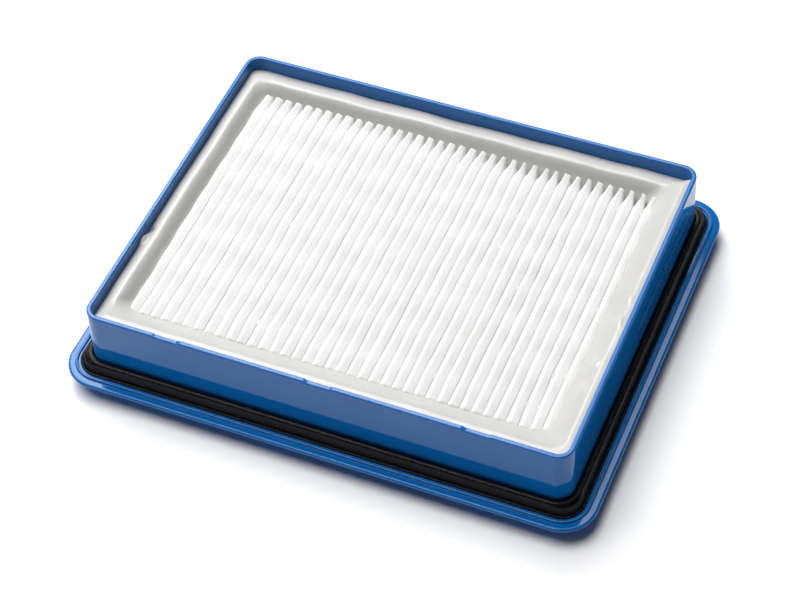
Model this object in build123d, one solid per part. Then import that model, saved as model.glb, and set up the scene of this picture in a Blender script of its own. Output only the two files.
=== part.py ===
"""Cassette filter of a vacuum cleaner: a pleated pack potted into a flanged frame with a seal.

Sizes are in millimetres, +Z is up. The frame stands on the foot of its skirt at Z 0, its long side
along X, with the open side that shows the pleats upwards and the support grille below.
"""
import math
import os

from build123d import *

# Frame box
RIM_W = 146.0  # outer width of the rim, along X
RIM_D = 115.0  # outer depth of the rim, along Y
HEIGHT = 28.0  # foot of the skirt to the rim
WALL = 1.45  # wall thickness at the rim
RIM_R = 4.7  # outer corner radius of the rim
RIM_EDGE = 0.4  # bevel of the two edges of the rim
DRAFT = 1.05  # mould draft of the walls, degrees

# Shallow notches in the front rim
NOTCH_COUNT = 3
NOTCH_PITCH = 46.5
NOTCH_W = 7.6
NOTCH_DEPTH = 0.4

# Flange with the ridge that holds the seal
FLANGE_Z = 5.3  # underside of the flange above the foot
FLANGE_T = 1.1  # thickness of the flange
FLANGE_OUT = 7.7  # rim outline to flange edge, on each side
FLANGE_R = 10.5  # corner radius of the flange
FLANGE_EDGE = 0.25  # bevel of the edges of the flange
LIP_W = 2.2  # flat lip outside the ridge
RIDGE_W = 0.8
RIDGE_H = 0.65

# Support grille and ledge under the pack
GRILLE_T = 2.0
LEDGE_W = 10.0  # ledge all round, from the wall inwards
CELL = 15.0  # wanted spacing of the grille bars
BAR_W = 1.6

# Seal in the channel between wall and ridge
SEAL_WALL_GAP = 0.1
SEAL_RIDGE_GAP = 0.7
SEAL_H = 1.5  # crest above the flange
SEAL_EDGE_H = 0.65  # outer edge above the flange
SEAL_BEAD_R = 0.8  # radius of the bead at the crest
SEAL_BEAD_IN = 0.55  # bead centre from the inner face of the seal

# Pleated media
MARGIN = 9.0  # inner wall to the outermost fold and to the pleat ends
PLEAT_PITCH = 3.38  # wanted spacing of the folds
PLEAT_GAP = 0.66  # slot between neighbouring pleats
MEDIA_T = 0.5
FOLD_R = 0.7  # outer radius of the upper folds
FLANK_LEAN = 20.0  # lean of the flanks below the upper folds, degrees from upright
TIP_DROP = 5.4  # rim to the upper folds

# Potting between pack and walls
POT_WALL_DROP = 3.0  # rim to the compound at the wall
POT_TIP_DROP = 3.6  # upper folds to the compound at the pack
POT_SAG = 1.0  # hollow of the compound's surface

# Separator beads between neighbouring pleats
BEAD_PITCH = 12.9  # spacing of the rows
BEAD_W = 3.0  # along the pleats
BEAD_DROP = 0.9  # upper folds to the bead

# Sizes that follow from the ones above
SLOPE = math.tan(math.radians(DRAFT))
SEAT_Z = FLANGE_Z + FLANGE_T
RIM_BEVEL = min(RIM_EDGE, 0.4 * WALL)
BEVEL_Z = HEIGHT - RIM_BEVEL
WIDENING = (BEVEL_Z - FLANGE_Z) * SLOPE
CORE_DRAFT = (BEVEL_Z - GRILLE_T) * SLOPE
INNER_W = RIM_W - 2 * WALL
INNER_D = RIM_D - 2 * WALL
INNER_R = max(RIM_R - WALL, 0.5)
FLANGE_W = RIM_W + 2 * FLANGE_OUT
FLANGE_D = RIM_D + 2 * FLANGE_OUT
TIP_Z = HEIGHT - TIP_DROP
PACK_W = INNER_W - 2 * MARGIN
PACK_D = INNER_D - 2 * MARGIN
PLEATS = max(round(PACK_W / PLEAT_PITCH), 2) + 1
PITCH = PACK_W / (PLEATS - 1)
PLEAT_HALF = (PITCH - PLEAT_GAP) / 2
LEAN_RUN = math.tan(math.radians(FLANK_LEAN))
FOLD_X = FOLD_R * math.cos(math.radians(FLANK_LEAN))
FOLD_Z = TIP_Z - FOLD_R + FOLD_R * math.sin(math.radians(FLANK_LEAN))
FLANK_Z = FOLD_Z - (PLEAT_HALF - FOLD_X) / LEAN_RUN


def rounded_face(width, depth, radius, z):
    """Rounded rectangle about the Z axis at height z."""
    return Pos(0, 0, z) * RectangleRounded(width, depth, radius)


def tapered_block(width, depth, radius, z, height, growth):
    """Rounded block whose outline grows by growth on each side from z to z plus height."""
    top = rounded_face(width + 2 * growth, depth + 2 * growth, radius + growth, z + height)
    return loft([rounded_face(width, depth, radius, z), top])


def ring(width, depth, radius, thickness, z, height):
    """Upright rounded ring of one thickness, measured inwards from its outer outline."""
    outer = rounded_face(width, depth, radius, z)
    inner = rounded_face(width - 2 * thickness, depth - 2 * thickness, radius - thickness, z)
    return extrude(outer - inner, height)


def make_cavity():
    """Space inside the walls, from the top of the grille to the rim, with a bevelled mouth."""
    hollow = tapered_block(
        INNER_W - 2 * CORE_DRAFT,
        INNER_D - 2 * CORE_DRAFT,
        max(INNER_R - CORE_DRAFT, 0.3),
        GRILLE_T,
        BEVEL_Z - GRILLE_T,
        CORE_DRAFT,
    )
    return hollow + tapered_block(INNER_W, INNER_D, INNER_R, BEVEL_Z, RIM_BEVEL, RIM_BEVEL)


def make_windows():
    """Windows of the support grille, in even rows between the ledges."""
    open_w = INNER_W - 2 * CORE_DRAFT - 2 * LEDGE_W
    open_d = INNER_D - 2 * CORE_DRAFT - 2 * LEDGE_W
    columns = max(round((open_w + BAR_W) / CELL), 1)
    rows = max(round((open_d + BAR_W) / CELL), 1)
    cell_w = (open_w + BAR_W) / columns - BAR_W
    cell_d = (open_d + BAR_W) / rows - BAR_W
    window = Pos(0, 0, GRILLE_T / 2) * Box(cell_w, cell_d, GRILLE_T)
    return GridLocations(cell_w + BAR_W, cell_d + BAR_W, columns, rows) * window


def make_frame(cavity):
    """One-piece moulded frame: drafted walls, skirt, flange with ridge, grille and rim notches."""
    foot_w = RIM_W + 2 * WIDENING
    foot_d = RIM_D + 2 * WIDENING
    foot_r = RIM_R + WIDENING
    taper = FLANGE_Z * SLOPE
    walls = tapered_block(foot_w, foot_d, foot_r, FLANGE_Z, BEVEL_Z - FLANGE_Z, -WIDENING)
    rim = tapered_block(RIM_W, RIM_D, RIM_R, BEVEL_Z, RIM_BEVEL, -RIM_BEVEL)
    skirt = tapered_block(foot_w - 2 * taper, foot_d - 2 * taper, foot_r - taper, 0, FLANGE_Z, taper)
    plate = extrude(rounded_face(FLANGE_W, FLANGE_D, FLANGE_R, FLANGE_Z), FLANGE_T)
    edges = plate.edges().filter_by(Axis.Z, reverse=True)
    plate = chamfer(edges, min(FLANGE_EDGE, 0.4 * FLANGE_T))
    ridge_w = FLANGE_W - 2 * LIP_W
    ridge_d = FLANGE_D - 2 * LIP_W
    ridge = ring(ridge_w, ridge_d, FLANGE_R - LIP_W, RIDGE_W, SEAT_Z, RIDGE_H)
    body = walls + rim + skirt + plate + ridge - cavity - make_windows()
    notch = Pos(0, (WALL - RIM_D) / 2, HEIGHT) * Box(NOTCH_W, 2 * WALL, 2 * NOTCH_DEPTH)
    return body - GridLocations(NOTCH_PITCH, 1, NOTCH_COUNT, 1) * notch


def make_seal():
    """Rubber seal: a bead beside the wall that falls to a thin outer edge, swept round the channel."""
    inset = LIP_W + RIDGE_W + SEAL_RIDGE_GAP
    width = FLANGE_OUT - WIDENING - inset - SEAL_WALL_GAP
    centre_z = SEAL_H - SEAL_BEAD_R
    run = width - SEAL_BEAD_IN
    rise = SEAL_EDGE_H - centre_z
    angle = math.atan2(rise, run) + math.acos(SEAL_BEAD_R / math.hypot(run, rise))
    side_z = centre_z + math.sqrt(max(SEAL_BEAD_R**2 - SEAL_BEAD_IN**2, 0.0))
    touch = (
        SEAL_BEAD_IN + SEAL_BEAD_R * math.cos(angle),
        centre_z + SEAL_BEAD_R * math.sin(angle),
    )
    outline = [
        Line((0, 0), (width, 0)),
        Line((width, 0), (width, SEAL_EDGE_H)),
        Line((width, SEAL_EDGE_H), touch),
        ThreePointArc(touch, (SEAL_BEAD_IN, SEAL_H), (0, side_z)),
        Line((0, side_z), (0, 0)),
    ]
    half_w = FLANGE_W / 2 - inset - width
    half_d = FLANGE_D / 2 - inset - width
    radius = max(FLANGE_R - inset - width, 0.3)
    corner = [(half_w, 0, SEAT_Z), (half_w, half_d, SEAT_Z), (0, half_d, SEAT_Z)]
    start = Plane(origin=corner[0], x_dir=(1, 0, 0), z_dir=(0, -1, 0))
    quarter = sweep(start * make_face(outline), path=FilletPolyline(*corner, radius=radius))
    half = quarter + mirror(quarter, Plane.YZ)
    return half + mirror(half, Plane.XZ)


def upper_face(x, left_z, right_z):
    """Upper face of the pleat about x: upright, flank, round fold, flank, upright."""
    left = [(x - PLEAT_HALF, 0, left_z), (x - PLEAT_HALF, 0, FLANK_Z), (x - FOLD_X, 0, FOLD_Z)]
    right = [(x + FOLD_X, 0, FOLD_Z), (x + PLEAT_HALF, 0, FLANK_Z), (x + PLEAT_HALF, 0, right_z)]
    fold = ThreePointArc(left[-1], (x, 0, TIP_Z), right[0])
    return [*Polyline(*left).edges(), fold, *Polyline(*right).edges()]


def lower_face(x):
    """Lower face of the pleat about x, one sheet thickness inside the upper one, flat under the fold."""
    reach = PLEAT_HALF - MEDIA_T
    lean = math.radians(FLANK_LEAN)
    shoulder_z = FLANK_Z - MEDIA_T * math.tan(lean / 2)
    crown_z = TIP_Z - MEDIA_T
    crown = max(reach - (crown_z - shoulder_z) * LEAN_RUN, 0.02)
    half = [(reach, 0, GRILLE_T), (reach, 0, shoulder_z), (crown, 0, crown_z)]
    left = [(x - px, py, pz) for px, py, pz in half]
    right = [(x + px, py, pz) for px, py, pz in reversed(half)]
    return Polyline(*left, *right).edges()


def make_media():
    """Filter sheet folded into pleats: round upper folds, and flat lower turns that stand on the grille."""
    turn_z = GRILLE_T + MEDIA_T
    inner = PLEAT_HALF - MEDIA_T
    edges = []
    for i in range(PLEATS):
        x = PITCH * (i - (PLEATS - 1) / 2)
        edges += upper_face(x, GRILLE_T if i == 0 else turn_z, GRILLE_T if i == PLEATS - 1 else turn_z)
        edges += lower_face(x)
        if i < PLEATS - 1:
            edges.append(Line((x + PLEAT_HALF, 0, turn_z), (x + PITCH - PLEAT_HALF, 0, turn_z)))
            edges.append(Line((x + inner, 0, GRILLE_T), (x + PITCH - inner, 0, GRILLE_T)))
    for side in (-1, 1):
        outermost = PACK_W / 2 + PLEAT_HALF
        edges.append(Line((side * outermost, 0, GRILLE_T), (side * (outermost - MEDIA_T), 0, GRILLE_T)))
    return extrude(make_face(edges), PACK_D / 2, both=True)


def make_potting(cavity):
    """Ring of compound that bonds the pack to the walls, with a hollow surface that rises to them."""
    wall_z = HEIGHT - POT_WALL_DROP
    pack_z = TIP_Z - POT_TIP_DROP
    outline = [
        Line((-WALL, GRILLE_T), (-WALL, wall_z)),
        Line((-WALL, wall_z), (0, wall_z)),
        ThreePointArc((0, wall_z), (MARGIN / 2, (wall_z + pack_z) / 2 - POT_SAG), (MARGIN, pack_z)),
        Line((MARGIN, pack_z), (MARGIN, GRILLE_T)),
        Line((MARGIN, GRILLE_T), (-WALL, GRILLE_T)),
    ]
    section = make_face(outline)
    back = Plane(origin=(0, INNER_D / 2, 0), x_dir=(0, -1, 0), z_dir=(-1, 0, 0))
    right = Plane(origin=(INNER_W / 2, 0, 0), x_dir=(-1, 0, 0), z_dir=(0, 1, 0))
    back_bar = extrude(back * section, RIM_W / 2, both=True)
    side_bar = extrude(right * section, RIM_D / 2, both=True)
    bars = back_bar + mirror(back_bar, Plane.XZ) + side_bar + mirror(side_bar, Plane.YZ)
    pack = Pos(0, 0, HEIGHT / 2) * Box(PACK_W + 2 * PLEAT_HALF, PACK_D, HEIGHT)
    return (bars & cavity) - pack


def make_separators():
    """Rows of beads that keep the pleats apart: wedges between the flanks of every two pleats."""
    upper_z = TIP_Z - BEAD_DROP
    half = PLEAT_GAP / 2 + (upper_z - FLANK_Z) * LEAN_RUN
    outline = Polyline(
        (-half, 0, upper_z),
        (half, 0, upper_z),
        (0, 0, upper_z - half / LEAN_RUN),
        close=True,
    )
    bead = extrude(make_face(outline), BEAD_W / 2, both=True)
    row = [Pos(PITCH * (i - (PLEATS - 2) / 2), 0, 0) * bead for i in range(PLEATS - 1)]
    pairs = math.floor((PACK_D / 2 - BEAD_W) / BEAD_PITCH)
    return [Pos(0, BEAD_PITCH * k, 0) * Compound(children=row) for k in range(-pairs, pairs + 1)]


def main():
    """Builds every piece and writes one file for each."""
    os.makedirs("parts", exist_ok=True)
    cavity = make_cavity()
    export_step(make_frame(cavity), "parts/frame.step")
    export_step(make_seal(), "parts/seal.step")
    export_step(make_media(), "parts/pleated_media.step")
    export_step(make_potting(cavity), "parts/potting.step")
    for number, row in enumerate(make_separators(), 1):
        export_step(row, f"parts/separator_row_{number}.step")


main()
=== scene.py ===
"""Vacuum cleaner filter cassette: dressed meshes, finishes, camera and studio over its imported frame."""

import logging
from dataclasses import dataclass
from enum import Enum

import bpy
import numpy as np
from mathutils import Matrix, Vector


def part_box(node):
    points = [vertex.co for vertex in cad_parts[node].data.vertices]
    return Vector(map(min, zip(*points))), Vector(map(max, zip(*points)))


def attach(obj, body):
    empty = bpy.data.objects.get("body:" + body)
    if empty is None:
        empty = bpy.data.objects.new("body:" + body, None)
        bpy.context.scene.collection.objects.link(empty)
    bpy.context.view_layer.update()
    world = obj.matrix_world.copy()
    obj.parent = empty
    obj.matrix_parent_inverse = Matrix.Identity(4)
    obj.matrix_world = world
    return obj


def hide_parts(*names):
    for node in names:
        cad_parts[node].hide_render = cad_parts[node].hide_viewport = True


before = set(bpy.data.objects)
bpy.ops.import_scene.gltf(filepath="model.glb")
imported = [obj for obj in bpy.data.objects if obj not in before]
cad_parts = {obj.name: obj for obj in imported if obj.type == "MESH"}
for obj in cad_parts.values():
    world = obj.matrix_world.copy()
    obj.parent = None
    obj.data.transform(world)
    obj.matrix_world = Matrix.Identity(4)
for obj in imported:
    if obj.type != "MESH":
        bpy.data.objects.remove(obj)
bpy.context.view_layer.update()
MM = 0.001  # metres in a millimetre
BODY = "root"  # the row has no joints, so every piece rides on one body
LOG = logging.getLogger("filter_cassette")


class Side(Enum):
    """Sides of the cassette, by the direction that their walls face."""

    RIGHT = (1.0, 0.0)
    BACK = (0.0, 1.0)
    LEFT = (-1.0, 0.0)
    FRONT = (0.0, -1.0)


def linear(colour: str) -> tuple[float, float, float, float]:
    """Turns an sRGB hex colour into linear light.

    Args:
        colour: Hex digits such as "1a2b3c".

    Returns:
        Red, green, blue and an alpha of one.
    """
    srgb = np.array([int(colour[i : i + 2], 16) for i in (0, 2, 4)]) / 255.0
    light = np.where(srgb <= 0.04045, srgb / 12.92, ((srgb + 0.055) / 1.055) ** 2.4)
    return (*map(float, light), 1.0)


def smooth(low: float, high: float, x: np.ndarray) -> np.ndarray:
    """Smooth step from 0 at low to 1 at high: t squared times three minus two t."""
    t = np.clip((np.asarray(x, float) - low) / (high - low), 0.0, 1.0)
    return t * t * (3.0 - 2.0 * t)


def ripples(x: np.ndarray, y: np.ndarray, wavelength: float, seed: int) -> np.ndarray:
    """Uneven surface of unit height: the mean of eight plane sine waves of mixed directions.

    Args:
        x: Positions along X, in millimetres.
        y: Positions along Y, in millimetres.
        wavelength: Mean wavelength, in millimetres.
        seed: Number that fixes directions, lengths and phases.

    Returns:
        Heights of about minus one to one, in the shape of x and y.
    """
    rng = np.random.default_rng(seed)
    turn = rng.uniform(0.0, 2.0 * np.pi, 8)
    wave = 2.0 * np.pi / (wavelength * rng.uniform(0.7, 1.6, 8))
    phase = rng.uniform(0.0, 2.0 * np.pi, 8)
    along = np.multiply.outer(x, np.cos(turn)) + np.multiply.outer(y, np.sin(turn))
    return np.sin(along * wave + phase).mean(axis=-1) * 2.0


@dataclass
class Surface:
    """Mesh in millimetres: corner points and the four-sided faces between them."""

    points: np.ndarray
    quads: np.ndarray

    @classmethod
    def grid(cls, points: np.ndarray, loop_rows: bool = False, loop_columns: bool = False) -> "Surface":
        """Joins a grid of points into faces; the columns' direction times the rows' points outwards.

        Args:
            points: Array of rows, columns and three coordinates.
            loop_rows: Whether the last row joins the first.
            loop_columns: Whether the last column joins the first.

        Returns:
            The surface.
        """
        rows, columns = points.shape[:2]
        i = np.arange(rows if loop_rows else rows - 1)[:, None]
        j = np.arange(columns if loop_columns else columns - 1)[None, :]
        below, above = i * columns, (i + 1) % rows * columns
        left, right = j, (j + 1) % columns
        quads = np.stack([below + left, below + right, above + right, above + left], axis=-1)
        return cls(points.reshape(-1, 3), quads.reshape(-1, 4))

    def __add__(self, other: "Surface") -> "Surface":
        """Both surfaces as one mesh."""
        quads = np.vstack([self.quads, other.quads + len(self.points)])
        return Surface(np.vstack([self.points, other.points]), quads)

    def merged(self) -> "Surface":
        """Makes one point of the points that coincide and drops faces that lose their area.

        Returns:
            The surface, with shared points along its seams.
        """
        key = np.round(self.points, 5)
        _, first, index = np.unique(key, axis=0, return_index=True, return_inverse=True)
        quads = index.reshape(-1)[self.quads]
        kinds = (np.diff(np.sort(quads, axis=1), axis=1) != 0).sum(axis=1)
        return Surface(self.points[first], quads[kinds >= 2])


def make_piece(
    name: str, surface: Surface, finish: "Finish", nodes: list[str], crease: float = 50.0
) -> bpy.types.Object:
    """Puts a surface into the scene as a piece that stands for CAD nodes.

    Args:
        name: Name of the piece.
        surface: Its mesh, in millimetres.
        finish: Its finish.
        nodes: CAD nodes that it replaces.
        crease: Edges that turn by more degrees than this stay sharp.

    Returns:
        The new object.
    """
    mesh = bpy.data.meshes.new(name)
    faces = [list(dict.fromkeys(face)) for face in surface.quads.tolist()]
    mesh.from_pydata(surface.points * MM, [], faces)
    mesh.polygons.foreach_set("use_smooth", np.ones(len(mesh.polygons), bool))
    mesh.set_sharp_from_angle(angle=np.radians(crease))
    mesh.update()
    mesh.materials.append(finish.material())
    piece = bpy.data.objects.new(name, mesh)
    bpy.context.scene.collection.objects.link(piece)
    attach(piece, BODY)
    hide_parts(*nodes)
    triangles = sum(len(face) - 2 for face in faces)
    LOG.info("%s: %d points, %d triangles, for %s", name, len(mesh.vertices), triangles, ", ".join(nodes))
    return piece


def add(tree: bpy.types.NodeTree, kind: str, inputs: dict, links: dict, **settings) -> bpy.types.Node:
    """Adds a shader node with its settings and links.

    Args:
        tree: Node tree that gets the node.
        kind: Node type.
        inputs: Socket names with their fixed values.
        links: Socket names with the node and output that feed them.
        **settings: Properties of the node.

    Returns:
        The new node.
    """
    node = tree.nodes.new(kind)
    for key, value in settings.items():
        setattr(node, key, value)
    for key, value in inputs.items():
        node.inputs[key].default_value = value
    for key, (source, output) in links.items():
        tree.links.new(source.outputs[output], node.inputs[key])
    return node


@dataclass(frozen=True)
class Finish:
    """What all finishes share: a name, two colours that drift over the surface, gloss and relief.

    Attributes:
        name: Real material and how its surface was made.
        colour: Main colour, sRGB hex.
        drift: Second colour, sRGB hex, that shows in soft patches.
        patch_mm: Size of the patches.
        roughness: Lowest and highest roughness.
        ior: Index of refraction.
        wave_mm: Width of the broad relief.
        wave_depth_mm: Depth of the broad relief.
        grain_mm: Width of the fine relief.
        grain_depth_mm: Depth of the fine relief.
        scatter: Share of light that travels below the surface.
        scatter_mm: How far it travels.
    """

    name: str
    colour: str
    drift: str
    patch_mm: float
    roughness: tuple[float, float]
    ior: float
    wave_mm: float
    wave_depth_mm: float
    grain_mm: float
    grain_depth_mm: float
    scatter: float = 0.0
    scatter_mm: float = 1.0

    def material(self) -> bpy.types.Material:
        """Makes the material once and then hands out the same one.

        Returns:
            The material.
        """
        found = bpy.data.materials.get(self.name)
        if found:
            return found
        material = bpy.data.materials.new(self.name)
        material.use_nodes = True
        tree = material.node_tree
        tree.nodes.clear()
        where = add(tree, "ShaderNodeTexCoord", {}, {})
        place = {"Vector": (where, "Object")}
        patch = add(
            tree, "ShaderNodeTexNoise", {"Scale": 1.0 / (self.patch_mm * MM), "Detail": 3.0}, place
        )
        ends = {"From Min": 0.2, "From Max": 0.8}
        share = add(tree, "ShaderNodeMapRange", ends, {"Value": (patch, "Fac")})
        tint = add(
            tree,
            "ShaderNodeMix",
            {"A": linear(self.colour), "B": linear(self.drift)},
            {"Factor": (share, "Result")},
            data_type="RGBA",
        )
        gloss = add(
            tree,
            "ShaderNodeMapRange",
            {**ends, "To Min": self.roughness[0], "To Max": self.roughness[1]},
            {"Value": (patch, "Fac")},
        )
        wave = add(
            tree, "ShaderNodeTexNoise", {"Scale": 1.0 / (self.wave_mm * MM), "Detail": 1.0}, place
        )
        broad = add(
            tree,
            "ShaderNodeBump",
            {"Strength": 1.0, "Distance": self.wave_depth_mm * MM},
            {"Height": (wave, "Fac")},
        )
        grain = self.grain(tree, place)
        fine = add(
            tree,
            "ShaderNodeBump",
            {"Strength": 1.0, "Distance": self.grain_depth_mm * MM},
            {"Height": grain, "Normal": (broad, "Normal")},
        )
        shader = add(
            tree,
            "ShaderNodeBsdfPrincipled",
            {
                "IOR": self.ior,
                "Subsurface Weight": self.scatter,
                "Subsurface Scale": self.scatter_mm * MM,
                "Subsurface Radius": (1.0, 0.95, 0.9),
            },
            {"Base Color": (tint, "Result"), "Roughness": (gloss, "Result"), "Normal": (fine, "Normal")},
        )
        add(tree, "ShaderNodeOutputMaterial", {}, {"Surface": (shader, "BSDF")})
        return material

    def grain(self, tree: bpy.types.NodeTree, place: dict) -> tuple[bpy.types.Node, str]:
        """Fine relief of the surface: plain noise of the grain's width.

        Args:
            tree: Node tree of the material.
            place: Link that feeds the texture's position.

        Returns:
            The node and output with the height.
        """
        noise = {"Scale": 1.0 / (self.grain_mm * MM), "Detail": 2.0}
        return add(tree, "ShaderNodeTexNoise", noise, place), "Fac"


# Moulded ABS: a mirror-like skin over a deep blue body, with the slight waves of a thin moulded wall.
BLUE_ABS = Finish(
    name="abs_moulded_glossy_blue",
    colour="0465ae",
    drift="0560a6",
    patch_mm=22.0,
    roughness=(0.04, 0.08),
    ior=1.42,
    wave_mm=16.0,
    wave_depth_mm=0.012,
    grain_mm=0.6,
    grain_depth_mm=0.0006,
)

# Skinned EPDM foam: near black, with a satin bloom and pores that break its highlight into sparks.
BLACK_EPDM = Finish(
    name="epdm_foam_skinned_black",
    colour="040405",
    drift="070708",
    patch_mm=6.0,
    roughness=(0.22, 0.34),
    ior=1.3,
    wave_mm=2.5,
    wave_depth_mm=0.06,
    grain_mm=0.35,
    grain_depth_mm=0.14,
)

# Melt-blown polypropylene paper: bright matte white that lets light through and has a felted skin.
WHITE_MEDIA = Finish(
    name="polypropylene_paper_melt_blown_white",
    colour="d8d8d7",
    drift="d2d2d1",
    patch_mm=9.0,
    roughness=(0.75, 0.9),
    ior=1.45,
    wave_mm=2.2,
    wave_depth_mm=0.12,
    grain_mm=0.35,
    grain_depth_mm=0.03,
    scatter=0.6,
    scatter_mm=1.0,
)

# Cast polyurethane: off-white, poured and self-levelled, so glossy with lazy waves.
CAST_PU = Finish(
    name="polyurethane_cast_off_white",
    colour="c3c2bf",
    drift="bbbab7",
    patch_mm=12.0,
    roughness=(0.22, 0.36),
    ior=1.5,
    wave_mm=5.0,
    wave_depth_mm=0.15,
    grain_mm=0.9,
    grain_depth_mm=0.01,
    scatter=0.1,
    scatter_mm=1.0,
)

# EVA hot melt: milky beads laid from a nozzle, a little glossier than the paper they hold.
HOT_MELT = Finish(
    name="eva_hot_melt_milky",
    colour="d5d5d4",
    drift="d0d0ce",
    patch_mm=4.0,
    roughness=(0.4, 0.55),
    ior=1.48,
    wave_mm=1.5,
    wave_depth_mm=0.08,
    grain_mm=0.5,
    grain_depth_mm=0.01,
    scatter=0.6,
    scatter_mm=1.0,
)

# Seamless paper sweep: flat white that only takes the shadow.
WHITE_PAPER = Finish(
    name="seamless_paper_white",
    colour="fcfcfc",
    drift="fafafa",
    patch_mm=60.0,
    roughness=(0.85, 0.9),
    ior=1.3,
    wave_mm=30.0,
    wave_depth_mm=0.01,
    grain_mm=0.5,
    grain_depth_mm=0.001,
)


@dataclass(frozen=True)
class Outline:
    """Way round a rounded rectangle, as corner shares and outward directions.

    A point is (half - radius) times its corner share plus radius times its outward direction, on X
    and on Y alike, so one way round serves rings of every size.

    Attributes:
        corner_steps: Steps in each quarter turn.
        long_steps: Steps along the back and the front.
        short_steps: Steps along the two sides.
    """

    corner_steps: int
    long_steps: int
    short_steps: int

    def walk(self) -> tuple[np.ndarray, np.ndarray]:
        """Goes round once, anticlockwise from the right end of the right side's upper corner.

        Returns:
            Corner shares and outward directions, two columns each.
        """
        signs = np.array([(1, 1), (-1, 1), (-1, -1), (1, -1)], float)
        shares, outward = [], []
        for corner in range(4):
            angle = np.linspace(0.0, np.pi / 2, self.corner_steps + 1) + corner * np.pi / 2
            turn = np.stack([np.cos(angle), np.sin(angle)], axis=1)
            shares.append(np.repeat(signs[corner : corner + 1], len(turn), axis=0))
            outward.append(turn)
            steps = self.short_steps if corner % 2 else self.long_steps
            t = np.linspace(0.0, 1.0, steps + 1)[1:-1, None]
            shares.append((1.0 - t) * signs[corner] + t * signs[(corner + 1) % 4])
            outward.append(np.repeat(turn[-1:], len(t), axis=0))
        return np.vstack(shares), np.vstack(outward)

    def rings(self, half_w: np.ndarray, half_d: np.ndarray, radius: np.ndarray, z: np.ndarray) -> np.ndarray:
        """Stacks one rounded rectangle for each set of sizes.

        Args:
            half_w: Half widths along X.
            half_d: Half depths along Y.
            radius: Corner radii.
            z: Heights.

        Returns:
            Points of every ring: rings, points and three coordinates.
        """
        share, outward = self.walk()
        x = np.multiply.outer(half_w - radius, share[:, 0]) + np.multiply.outer(radius, outward[:, 0])
        y = np.multiply.outer(half_d - radius, share[:, 1]) + np.multiply.outer(radius, outward[:, 1])
        return np.stack([x, y, np.broadcast_to(np.asarray(z)[:, None], x.shape)], axis=-1)

    def facing(self, side: Side) -> np.ndarray:
        """How far each point of the way faces a side, from 0 to 1; the four sides add up to 1."""
        outward = self.walk()[1]
        return np.clip(outward @ np.array(side.value), 0.0, 1.0) ** 2


def rounded_section(corners: list[tuple[float, float, float]], steps: int = 5) -> np.ndarray:
    """Closed section with an arc at each corner, tangent to both of its straight runs.

    A point close beside each arc's ends keeps the shading of the straight runs flat.

    Args:
        corners: Out, up and corner radius of each corner, anticlockwise.
        steps: Steps in each arc.

    Returns:
        Points of the section, two columns.
    """
    data = np.array(corners, float)
    here, radius = data[:, :2], data[:, 2]
    back = np.roll(here, 1, axis=0) - here
    ahead = np.roll(here, -1, axis=0) - here
    back /= np.linalg.norm(back, axis=1)[:, None]
    ahead /= np.linalg.norm(ahead, axis=1)[:, None]
    half = np.arccos(np.clip((back * ahead).sum(axis=1), -1.0, 1.0)) / 2.0
    middle = back + ahead
    middle /= np.linalg.norm(middle, axis=1)[:, None]
    centre = here + middle * (radius / np.sin(half))[:, None]
    start = here + back * (radius / np.tan(half))[:, None] - centre
    end = here + ahead * (radius / np.tan(half))[:, None] - centre
    t = np.linspace(0.0, 1.0, steps + 1)[None, :, None]
    swing = (np.pi - 2.0 * half)[:, None, None]
    arc = (np.sin((1.0 - t) * swing) * start[:, None] + np.sin(t * swing) * end[:, None]) / np.sin(swing)
    near = 0.04
    before = (start + near * back)[:, None]
    after = (end + near * ahead)[:, None]
    return (centre[:, None] + np.concatenate([before, arc, after], axis=1)).reshape(-1, 2)


@dataclass(frozen=True)
class Cassette:
    """Sizes that the pieces share, in millimetres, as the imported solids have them.

    Attributes:
        wall: Wall thickness at the rim.
        rim_radius: Outer corner radius of the rim.
        draft: Lean of the walls, run for each unit of height.
        flange_out: Rim outline to flange edge.
        flange_z: Underside of the flange.
        flange_t: Thickness of the flange.
        flange_radius: Corner radius of the flange.
        grille_t: Thickness of the grille and the ledge.
        tip_drop: Rim to the upper folds of the pleats.
    """

    wall: float = 1.45
    rim_radius: float = 4.7
    draft: float = 0.01833
    flange_out: float = 7.7
    flange_z: float = 5.3
    flange_t: float = 1.1
    flange_radius: float = 10.5
    grille_t: float = 2.0
    tip_drop: float = 5.4

    @property
    def height(self) -> float:
        """Rim above the foot, from the frame's solid."""
        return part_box("frame")[1][2] / MM

    @property
    def half_w(self) -> float:
        """Half width of the rim, from the frame's solid."""
        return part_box("frame")[1][0] / MM - self.flange_out

    @property
    def half_d(self) -> float:
        """Half depth of the rim, from the frame's solid."""
        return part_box("frame")[1][1] / MM - self.flange_out

    @property
    def seat_z(self) -> float:
        """Upper face of the flange."""
        return self.flange_z + self.flange_t

    @property
    def tip_z(self) -> float:
        """Upper folds of the pleats."""
        return self.height - self.tip_drop

    def carry(self, way: Outline, section: np.ndarray) -> np.ndarray:
        """Carries a section round the cassette; corner radii follow the wall, then the flange.

        Args:
            way: Way round.
            section: Out from the rim's outline, and up.

        Returns:
            Points of every ring.
        """
        out, z = section[:, 0], section[:, 1]
        near_wall = out < self.flange_out / 3.0
        radius = np.where(near_wall, self.rim_radius, self.flange_radius - self.flange_out) + out
        return way.rings(self.half_w + out, self.half_d + out, np.maximum(radius, 0.5), z)


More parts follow.
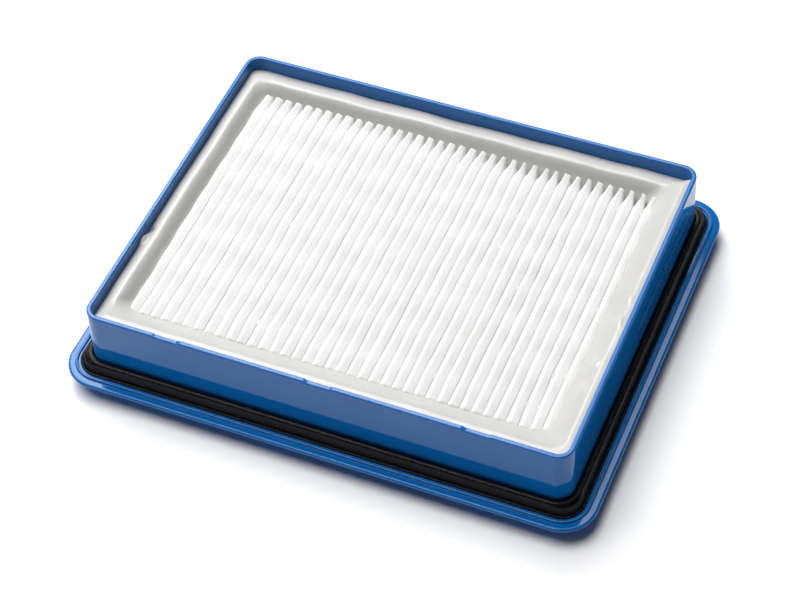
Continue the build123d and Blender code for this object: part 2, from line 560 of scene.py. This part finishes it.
@dataclass
class MouldedFrame:
    """One-piece frame: walls, flange with ridge, skirt, ledge, grille and the notches of the front rim.

    Attributes:
        sizes: Sizes of the cassette.
        lip_w: Flat lip outside the ridge.
        ridge_w: Width of the ridge.
        ridge_h: Height of the ridge.
        ledge_w: Ledge round the grille.
        columns: Windows along X.
        rows: Windows along Y.
        bar_w: Width of a grille bar.
        notch_pitch: Spacing of the three notches.
        notch_w: Width of a notch.
        notch_depth: Depth of a notch.
    """

    sizes: Cassette
    lip_w: float = 2.2
    ridge_w: float = 0.8
    ridge_h: float = 0.65
    ledge_w: float = 10.0
    columns: int = 8
    rows: int = 6
    bar_w: float = 1.6
    notch_pitch: float = 46.5
    notch_w: float = 7.6
    notch_depth: float = 0.4

    def section(self) -> np.ndarray:
        """Section of walls, flange and ledge, out from the rim's outline and up, with moulded radii."""
        s = self.sizes
        lean = s.draft * (s.height - s.flange_z)
        skirt = lean - s.draft * s.flange_z
        core = -s.wall - s.draft * (s.height - s.grille_t)
        ridge_out = s.flange_out - self.lip_w
        ridge_in = ridge_out - self.ridge_w
        crown = s.seat_z + self.ridge_h
        return rounded_section(
            [
                (core - self.ledge_w, 0.0, 0.3),
                (skirt, 0.0, 0.35),
                (lean, s.flange_z, 0.3),
                (s.flange_out, s.flange_z, 0.3),
                (s.flange_out, s.seat_z, 0.7),
                (ridge_out, s.seat_z, 0.12),
                (ridge_out, crown, 0.38),
                (ridge_in, crown, 0.3),
                (ridge_in, s.seat_z, 0.15),
                (lean, s.seat_z, 0.3),
                (0.0, s.height, 0.45),
                (-s.wall, s.height, 0.4),
                (core, s.grille_t, 0.4),
                (core - self.ledge_w, s.grille_t, 0.3),
            ]
        )

    def shell(self) -> Surface:
        """Section carried round the cassette, with the rim pressed down over each notch."""
        s = self.sizes
        points = s.carry(Outline(14, 220, 40), self.section())
        x, y, z = np.moveaxis(points, -1, 0)
        beside = np.abs(x - self.notch_pitch * np.clip(np.round(x / self.notch_pitch), -1, 1))
        notch = 1.0 - smooth(self.notch_w / 2 - 0.4, self.notch_w / 2 + 0.4, beside)
        upper = smooth(s.height - 2.0, s.height - 0.6, z) * (y < 0.0) * (np.abs(y) > s.half_d - 2.0 * s.wall)
        points[..., 2] -= self.notch_depth * notch * upper
        return Surface.grid(points, loop_rows=True, loop_columns=True)

    def grille(self) -> Surface:
        """Grid of bars: one tile for each window, from bar centre to window edge and back below.

        Returns:
            The bars as one closed sheet, butted against the ledge.
        """
        s = self.sizes
        core = -s.wall - s.draft * (s.height - s.grille_t) - self.ledge_w
        cell_w = 2.0 * (s.half_w + core) / self.columns
        cell_d = 2.0 * (s.half_d + core) / self.rows
        edge = 0.25
        inset = self.bar_w / 2.0 * np.array([0.0, 1.0, 1.0, 1.0, 1.0, 0.0])
        inset -= np.array([0.0, edge, 0.0, 0.0, edge, 0.0])
        z = np.array([s.grille_t, s.grille_t, s.grille_t - edge, edge, 0.0, 0.0])
        radius = np.array([0.0, 0.8, 0.6, 0.6, 0.8, 0.0])
        tile = Outline(4, 2, 2).rings(cell_w / 2.0 - inset, cell_d / 2.0 - inset, radius, z)[::-1]
        one = Surface.grid(tile, loop_columns=True)
        column = (np.arange(self.columns) - (self.columns - 1) / 2.0) * cell_w
        row = (np.arange(self.rows) - (self.rows - 1) / 2.0) * cell_d
        place = np.stack(np.meshgrid(column, row, [0.0]), axis=-1).reshape(-1, 1, 3)
        points = (one.points[None] + place).reshape(-1, 3)
        step = len(one.points) * np.arange(len(place))[:, None, None]
        return Surface(points, (one.quads[None] + step).reshape(-1, 4)).merged()

    def build(self) -> bpy.types.Object:
        """Builds the frame and dresses it in blue plastic."""
        surface = self.shell() + self.grille()
        return make_piece("moulded_frame", surface, BLUE_ABS, ["frame"], 60.0)


@dataclass
class SealRing:
    """Rubber seal in the channel: a tall round bead beside the wall and a thin skirt towards the ridge.

    Attributes:
        sizes: Sizes of the cassette.
        inner: Inner face, out from the rim's outline.
        outer: Outer edge, out from the rim's outline.
        crest: Crest above the flange.
        edge: Outer edge above the flange.
    """

    sizes: Cassette
    inner: float = 0.52
    outer: float = 4.0
    crest: float = 3.9
    edge: float = 0.62

    def section(self) -> np.ndarray:
        """Section of the seal: flat foot, thin outer edge, hollow, and a tall round bead beside the wall."""
        z = self.sizes.seat_z
        return rounded_section(
            [
                (self.inner, z + 0.02, 0.1),
                (self.outer, z + 0.02, 0.05),
                (self.outer, z + self.edge, 0.18),
                (self.outer - 0.35, z + self.edge, 0.12),
                (self.outer - 0.6, z + 0.25, 0.12),
                (self.inner + 1.85, z + self.crest, 1.0),
                (self.inner, z + self.crest - 0.2, 0.5),
            ]
        )

    def build(self) -> bpy.types.Object:
        """Builds the seal and dresses it in foam rubber."""
        points = self.sizes.carry(Outline(14, 160, 120), self.section())
        surface = Surface.grid(points, loop_rows=True, loop_columns=True)
        return make_piece("seal_ring", surface, BLACK_EPDM, ["seal"], 80.0)


@dataclass
class PleatPack:
    """Folded sheet of the filter: low tent-like folds that lean left, narrow slots and small unevenness.

    Attributes:
        sizes: Sizes of the cassette.
        margin: Inner wall to the outermost fold and to the pleat ends.
        pleats: Number of upper folds.
        sheet: Thickness of the sheet.
        arch: Upper fold down to where the faces stand upright, half way between separator rows.
        lean: How far the folds lean to the left.
        slot: Usual gap between neighbouring pleats.
        finger: Length over which the slots open at the back.
        finger_gap: How far they open there.
        gape_x: Place along X of the slots that gape.
        row_pitch: Spacing of the separator rows.
        rows: Number of separator rows.
        steps: Steps along the pleats from one row to the next.
        seed: Number that fixes the unevenness.
    """

    sizes: Cassette
    margin: float = 9.0
    pleats: int = 38
    sheet: float = 0.45
    arch: float = 0.62
    lean: float = 0.5
    slot: float = 0.01
    finger: float = 8.0
    finger_gap: float = 1.7
    gape_x: float = 39.0
    row_pitch: float = 12.9
    rows: int = 7
    steps: int = 8
    seed: int = 11

    @property
    def half_w(self) -> float:
        """Half distance between the outermost folds."""
        return self.sizes.half_w - self.sizes.wall - self.margin

    @property
    def half_d(self) -> float:
        """Half length of the pleats."""
        return self.sizes.half_d - self.sizes.wall - self.margin

    @property
    def pitch(self) -> float:
        """Spacing of the folds."""
        return 2.0 * self.half_w / (self.pleats - 1)

    def row_places(self) -> np.ndarray:
        """Places of the separator rows along Y."""
        return (np.arange(self.rows) - (self.rows - 1) / 2.0) * self.row_pitch

    def knots(self) -> np.ndarray:
        """Places along Y where the pleats may bend: both ends and the separator rows."""
        return np.concatenate([[-self.half_d], self.row_places(), [self.half_d]])

    def along(self, values: np.ndarray, y: np.ndarray) -> np.ndarray:
        """Carries values set at the knots straight from one to the next.

        Args:
            values: One line for each pleat or slot, one column for each knot.
            y: Places along the pleats.

        Returns:
            One line for each pleat or slot, one column for each place.
        """
        knots = self.knots()
        share = np.clip((y[None] - knots[:-1, None]) / np.diff(knots)[:, None], 0.0, 1.0)
        return values[:, :1] + np.diff(values, axis=1) @ share

    def between(self, y: np.ndarray) -> np.ndarray:
        """How far each place lies from the separator rows: 0 at a row, 1 half way to the next."""
        return np.sin(np.pi * (y - self.row_places()[0]) / self.row_pitch) ** 2

    def lanes(self, y: np.ndarray) -> tuple[np.ndarray, np.ndarray, np.ndarray]:
        """Slots and tips of the pack, uneven as a folded sheet is.

        Towards the back the slots open into fingers, more so on the right, and two slots right of the
        middle gape between the separator rows.

        Args:
            y: Places along the pleats.

        Returns:
            Left faces, right faces and tips of the pleats, one line for each pleat.
        """
        rng = np.random.default_rng(self.seed)
        shape = (self.pleats + 1, self.rows + 2)
        middle = (np.arange(self.pleats + 1) - self.pleats / 2.0) * self.pitch
        shift = self.along(rng.normal(0.0, 0.13, shape), y)
        gap = self.along(np.abs(rng.normal(self.slot, 0.015, shape)) + 0.008, y)
        spread = 0.75 + 0.65 * smooth(-0.6, 0.5, middle / self.half_w)
        spread *= rng.uniform(0.75, 1.2, len(middle))
        open_end = smooth(self.half_d - self.finger, self.half_d + 1.0, y)
        gap += self.finger_gap * spread[:, None] * open_end
        near = np.exp(-(((middle - self.gape_x) / 1.6) ** 2))[:, None]
        gape = near * self.between(y) * (y > -30.0) * (y < 38.0)
        lane = middle[:, None] + shift
        gap += 0.6 * gape
        tip = self.along(rng.normal(0.0, 0.14, (self.pleats, self.rows + 2)), y)
        return lane[:-1] + gap[:-1] / 2.0, lane[1:] - gap[1:] / 2.0, tip

    def face(self, depth: float, y: np.ndarray) -> np.ndarray:
        """One face of the sheet, as a grid across all pleats and along them.

        Across a pleat, t runs from -1 at its left face over 0 at the tip to 1 at its right face. The
        height falls from the tip by the arch times t to the power 1.25, less near a separator row, then
        the faces go straight down and turn round at the foot.

        Args:
            depth: How far the face lies inside the upper one.
            y: Places along the pleats.

        Returns:
            Points: across, along and three coordinates.
        """
        left, right, tip = self.lanes(y)
        rng = np.random.default_rng(self.seed + 1)
        rise = self.along(rng.normal(0.0, 0.05, (self.pleats, self.rows + 2)), y)
        half = np.array([0.0, 0.13, 0.28, 0.46, 0.66, 0.86, 1.0, 1.0, 1.0])
        t = np.concatenate([-half[:0:-1], half])[:, None, None]
        middle = (left + right) / 2.0 + tip - self.lean
        x = middle + t * np.where(t < 0.0, middle - left - depth, right - middle - depth)
        z = self.sizes.tip_z - 1.3 * depth + rise - self.arch * (0.4 + 0.6 * self.between(y)) * np.abs(t) ** 1.25
        foot = self.sizes.grille_t + self.sheet - depth
        z[[0, -1]] = foot
        z[[1, -2]] = foot + 0.35 + depth
        turn = 0.9 * ((left[1:] - right[:-1]) / 2.0 + depth)
        x[0, 1:] -= turn
        x[-1, :-1] += turn
        grid = np.stack([x, np.broadcast_to(y, x.shape), z], axis=-1)
        return np.moveaxis(grid, 1, 0).reshape(-1, len(y), 3)

    def build(self) -> bpy.types.Object:
        """Builds the sheet with both faces and closed edges, and dresses it in filter paper."""
        knots = self.knots()
        share = np.arange((len(knots) - 1) * self.steps + 1) / self.steps
        y = np.interp(share, np.arange(len(knots)), knots)
        upper, lower = self.face(0.0, y), self.face(self.sheet, y)
        band = np.concatenate([upper, lower[::-1]], axis=0)
        skin = Surface.grid(band.swapaxes(0, 1), loop_columns=True)
        ends = [Surface.grid(np.stack([upper[:, k], lower[:, k]])[::step]) for k, step in ((0, -1), (-1, 1))]
        surface = (skin + ends[0] + ends[1]).merged()
        return make_piece("pleated_sheet", surface, WHITE_MEDIA, ["pleated_media"], 100.0)


@dataclass
class SeparatorRows:
    """Hot-melt beads that keep the pleats apart, one piece for each row.

    Attributes:
        pack: Pleats that they sit between.
        length: Length of a bead along the pleats.
        width: Width of a bead across its slot, where it wets both pleats.
        depth: Height of a bead.
        drop: Tips down to the beads' crowns.
        seed: Number that fixes the unevenness.
    """

    pack: PleatPack
    length: float = 4.4
    width: float = 2.7
    depth: float = 1.2
    drop: float = 0.2
    seed: int = 5

    def row(self, place: float, seed: int) -> Surface:
        """One row: a saddle of hot melt in each slot.

        With u from -1 to 1 across the slot and v from -1 to 1 along it, the bead's upper face lies
        below its crown by s + (depth - s) times v to the power 4, where s is 0.12 times u squared.
        The lower face is flat, a depth below the crown, and meets the upper one at both ends.

        Args:
            place: Place of the row along Y.
            seed: Number that fixes the beads' sizes.

        Returns:
            The row's beads.
        """
        rng = np.random.default_rng(seed)
        left, right, _ = self.pack.lanes(np.array([place]))
        slots = self.pack.pleats - 1
        u = np.array([-1.0, -0.5, 0.0, 0.5, 1.0, 1.0, -1.0])[None, :]
        v = np.array([-1.0, -0.85, -0.6, -0.3, 0.0, 0.3, 0.6, 0.85, 1.0])[:, None]
        sag = 0.12 * u**2
        below = sag + (self.depth - sag) * np.abs(v) ** 4
        below[:, 5:] = self.depth
        across, along = np.broadcast_arrays(u * self.width / 2.0, v * self.length / 2.0)
        unit = np.stack([across, along, -below], axis=-1)
        centre = (right[:-1, 0] + left[1:, 0]) / 2.0
        crown = self.pack.sizes.tip_z - self.drop - rng.uniform(0.0, 0.1, slots)
        spot = np.stack([centre, place + rng.normal(0.0, 0.35, slots), crown], axis=-1)
        size = np.stack([np.ones(slots), rng.uniform(0.75, 1.15, slots), np.ones(slots)], axis=-1)
        points = unit[None] * size[:, None, None] + spot[:, None, None]
        one = Surface.grid(unit[:, ::-1], loop_columns=True)
        step = unit.shape[0] * unit.shape[1] * np.arange(slots)[:, None, None]
        return Surface(points[:, :, ::-1].reshape(-1, 3), (one.quads[None] + step).reshape(-1, 4)).merged()

    def build(self) -> list[bpy.types.Object]:
        """Builds each row and dresses it in hot melt."""
        pieces = []
        for number, place in enumerate(self.pack.row_places(), 1):
            surface = self.row(place, self.seed + number)
            node = f"separator_row_{number}"
            pieces.append(make_piece(f"bead_row_{number}", surface, HOT_MELT, [node]))
        return pieces


@dataclass(frozen=True)
class Pour:
    """How the cast compound lies along one side, as drops below the rim in millimetres.

    Attributes:
        wall: Drop where it meets the wall.
        crest: Drop at its crest.
        pack: Drop where it meets the pleats.
        place: Share of the way from wall to pack at which the crest lies.
        bend: Power of the fall from the crest to the pack; a higher one keeps the crest rounder.
    """

    wall: float
    crest: float
    pack: float
    place: float
    bend: float


@dataclass(frozen=True)
class Bump:
    """Round blob or dent in the cast compound.

    Attributes:
        x: Place along X.
        y: Place along Y.
        width: Size along X.
        length: Size along Y.
        height: Rise at its middle; a dent is negative.
    """

    x: float
    y: float
    width: float
    length: float
    height: float


@dataclass
class PottingRing:
    """Cast ring between pack and walls, poured by hand: low at the back and left, near the rim in front.

    Attributes:
        pack: Pleats that it holds.
        pours: How it lies along each side.
        bumps: Blobs and dents of the pour.
        corner_gain: How much larger the corner radius is at the pack than at the wall.
        seed: Number that fixes the unevenness.
    """

    pack: PleatPack
    pours: tuple[tuple[Side, Pour], ...] = (
        (Side.BACK, Pour(4.9, 3.8, 10.6, 0.54, 1.45)),
        (Side.LEFT, Pour(4.2, 2.8, 7.8, 0.48, 1.7)),
        (Side.FRONT, Pour(1.3, 1.1, 5.7, 0.2, 1.2)),
        (Side.RIGHT, Pour(1.3, 1.1, 5.8, 0.2, 1.2)),
    )
    bumps: tuple[Bump, ...] = (
        Bump(68.8, 3.4, 0.9, 1.5, 0.45),
        Bump(69.0, -5.4, 0.8, 1.9, 0.5),
        Bump(67.8, -21.7, 1.0, 2.4, 0.5),
        Bump(67.4, -31.2, 1.0, 2.2, 0.45),
        Bump(-70.9, -18.0, 0.8, 1.0, -1.2),
        Bump(-71.3, -22.5, 1.0, 2.2, 1.6),
        Bump(66.6, 51.6, 0.75, 0.75, -1.1),
        Bump(66.6, 51.6, 1.5, 1.5, 0.4),
    )
    corner_gain: float = 2.5
    seed: int = 21

    def blend(self, way: Outline, field: str) -> np.ndarray:
        """One measure of the pours, blended round the corners."""
        return sum(way.facing(side) * getattr(pour, field) for side, pour in self.pours)

    def surface(self) -> Surface:
        """Upper surface from the wall to the pack, with the hidden sides and foot below it.

        At a share v of the way from wall to pack the drop is crest + (wall - crest) (1 - v / place)
        squared up to the crest, and crest + (pack - crest) ((v - place) / (1 - place)) to the power
        bend after it; ripples and the bumps, each a Gaussian, come on top.

        Returns:
            The closed ring.
        """
        s = self.pack.sizes
        way = Outline(12, 220, 180)
        v = np.linspace(0.0, 1.0, 30)[:, None]
        wall, crest, pack, place, bend = (
            self.blend(way, field) for field in ("wall", "crest", "pack", "place", "bend")
        )
        rise = crest + (wall - crest) * np.clip(1.0 - v / place, 0.0, 1.0) ** 2
        drop = rise + (pack - crest) * np.clip((v - place) / (1.0 - place), 0.0, 1.0) ** bend
        inner_w, inner_d = s.half_w - s.wall, s.half_d - s.wall
        reach, end_reach = self.pack.margin - self.pack.pitch / 2.0 + 0.2, self.pack.margin + 0.3
        radius = s.rim_radius - s.wall + self.corner_gain * v[:, 0]
        top = way.rings(inner_w - v[:, 0] * reach, inner_d - v[:, 0] * end_reach, radius, np.zeros(len(v)))
        top[..., 0] -= 0.9 * v * np.clip(top[..., 0] / inner_w, 0.0, 1.0)
        uneven = 0.18 * ripples(top[..., 0], top[..., 1], 15.0, self.seed)
        for bump in self.bumps:
            far = ((top[..., 0] - bump.x) / bump.width) ** 2 + ((top[..., 1] - bump.y) / bump.length) ** 2
            uneven += bump.height * np.exp(-far)
        top[..., 2] = s.height - np.maximum(drop - uneven, 0.15)
        foot = top[[-1, 0]].copy()
        foot[..., 2] = s.grille_t + 0.02
        return Surface.grid(np.concatenate([foot[1:], top, foot[:1]]), loop_rows=True, loop_columns=True)

    def build(self) -> bpy.types.Object:
        """Builds the ring and dresses it in cast polyurethane."""
        return make_piece("potting_ring", self.surface(), CAST_PU, ["potting"], 80.0)


@dataclass
class Studio:
    """Paper sweep, soft light from above and the camera that matches the photograph.

    Attributes:
        azimuth: Turn of the camera about Z, degrees, from looking along +Y.
        elevation: Height of the camera above the horizon, degrees.
        roll: Turn of the camera about its own axis, degrees.
        distance: Camera to target, in millimetres.
        target: Point that the camera looks at, in millimetres.
        focal_px: Focal length in pixels.
        width_px: Width in pixels of the picture that the focal length is given for.
    """

    azimuth: float = 25.01385
    elevation: float = 49.00078
    roll: float = -3.45248
    distance: float = 664.614
    target: tuple[float, float, float] = (1.0717, -2.863, 5.192)
    focal_px: float = 2254.604
    width_px: float = 800.0

    def camera(self) -> bpy.types.Object:
        """Sets the camera up from its angles.

        Returns:
            The camera.
        """
        a, e, r = np.radians([self.azimuth, self.elevation, self.roll])
        back = Vector((np.sin(a) * np.cos(e), -np.cos(a) * np.cos(e), np.sin(e)))
        right = Vector((np.cos(a), np.sin(a), 0.0))
        up = back.cross(right)
        turned = right * np.cos(r) + up * np.sin(r)
        upright = up * np.cos(r) - right * np.sin(r)
        data = bpy.data.cameras.new("camera")
        data.sensor_fit = "HORIZONTAL"
        data.sensor_width = 36.0
        data.lens = self.focal_px * data.sensor_width / self.width_px
        data.clip_start = 0.05
        camera = bpy.data.objects.new("camera", data)
        spot = (Vector(self.target) + back * self.distance) * MM
        turn = Matrix((turned, upright, back)).transposed().to_4x4()
        camera.matrix_world = Matrix.Translation(spot) @ turn
        bpy.context.scene.collection.objects.link(camera)
        bpy.context.scene.camera = camera
        return camera

    def floor(self) -> bpy.types.Object:
        """Lays the paper sweep under the object."""
        mesh = bpy.data.meshes.new("paper_floor")
        corners = np.array([(-1, -1, 0), (1, -1, 0), (1, 1, 0), (-1, 1, 0)], float) * 2.0
        mesh.from_pydata(corners, [], [(0, 1, 2, 3)])
        mesh.materials.append(WHITE_PAPER.material())
        floor = bpy.data.objects.new("paper_floor", mesh)
        bpy.context.scene.collection.objects.link(floor)
        return floor

    def light(
        self, name: str, place: tuple[float, float, float], size: float, power: float
    ) -> bpy.types.Object:
        """Hangs a square soft box that faces the object.

        Args:
            name: Name of the light.
            place: Place in metres.
            size: Edge in metres.
            power: Power in watts.

        Returns:
            The light.
        """
        data = bpy.data.lights.new(name, "AREA")
        data.size = size
        data.energy = power
        light = bpy.data.objects.new(name, data)
        light.location = place
        light.rotation_euler = (-Vector(place)).to_track_quat("-Z", "Y").to_euler()
        bpy.context.scene.collection.objects.link(light)
        return light

    def build(self) -> None:
        """Sets up the world, the floor, the lights and the camera."""
        scene = bpy.context.scene
        scene.view_settings.view_transform = "Standard"
        world = bpy.data.worlds.new("studio")
        world.use_nodes = True
        shade = world.node_tree.nodes["Background"]
        shade.inputs["Color"].default_value = linear("ffffff")
        shade.inputs["Strength"].default_value = 0.04
        scene.world = world
        self.floor()
        self.light("overhead_soft_box", (-0.37, 0.12, 1.0), 1.1, 17.5)
        self.light("back_left_soft_box", (-0.34, 0.56, 0.78), 0.6, 4.5)
        self.camera()


def main() -> None:
    """Builds every sub-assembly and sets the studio."""
    logging.basicConfig(level=logging.INFO, format="%(name)s: %(message)s")
    sizes = Cassette()
    pack = PleatPack(sizes)
    MouldedFrame(sizes).build()
    SealRing(sizes).build()
    pack.build()
    SeparatorRows(pack).build()
    PottingRing(pack).build()
    Studio().build()


if __name__ == "__main__":
    main()
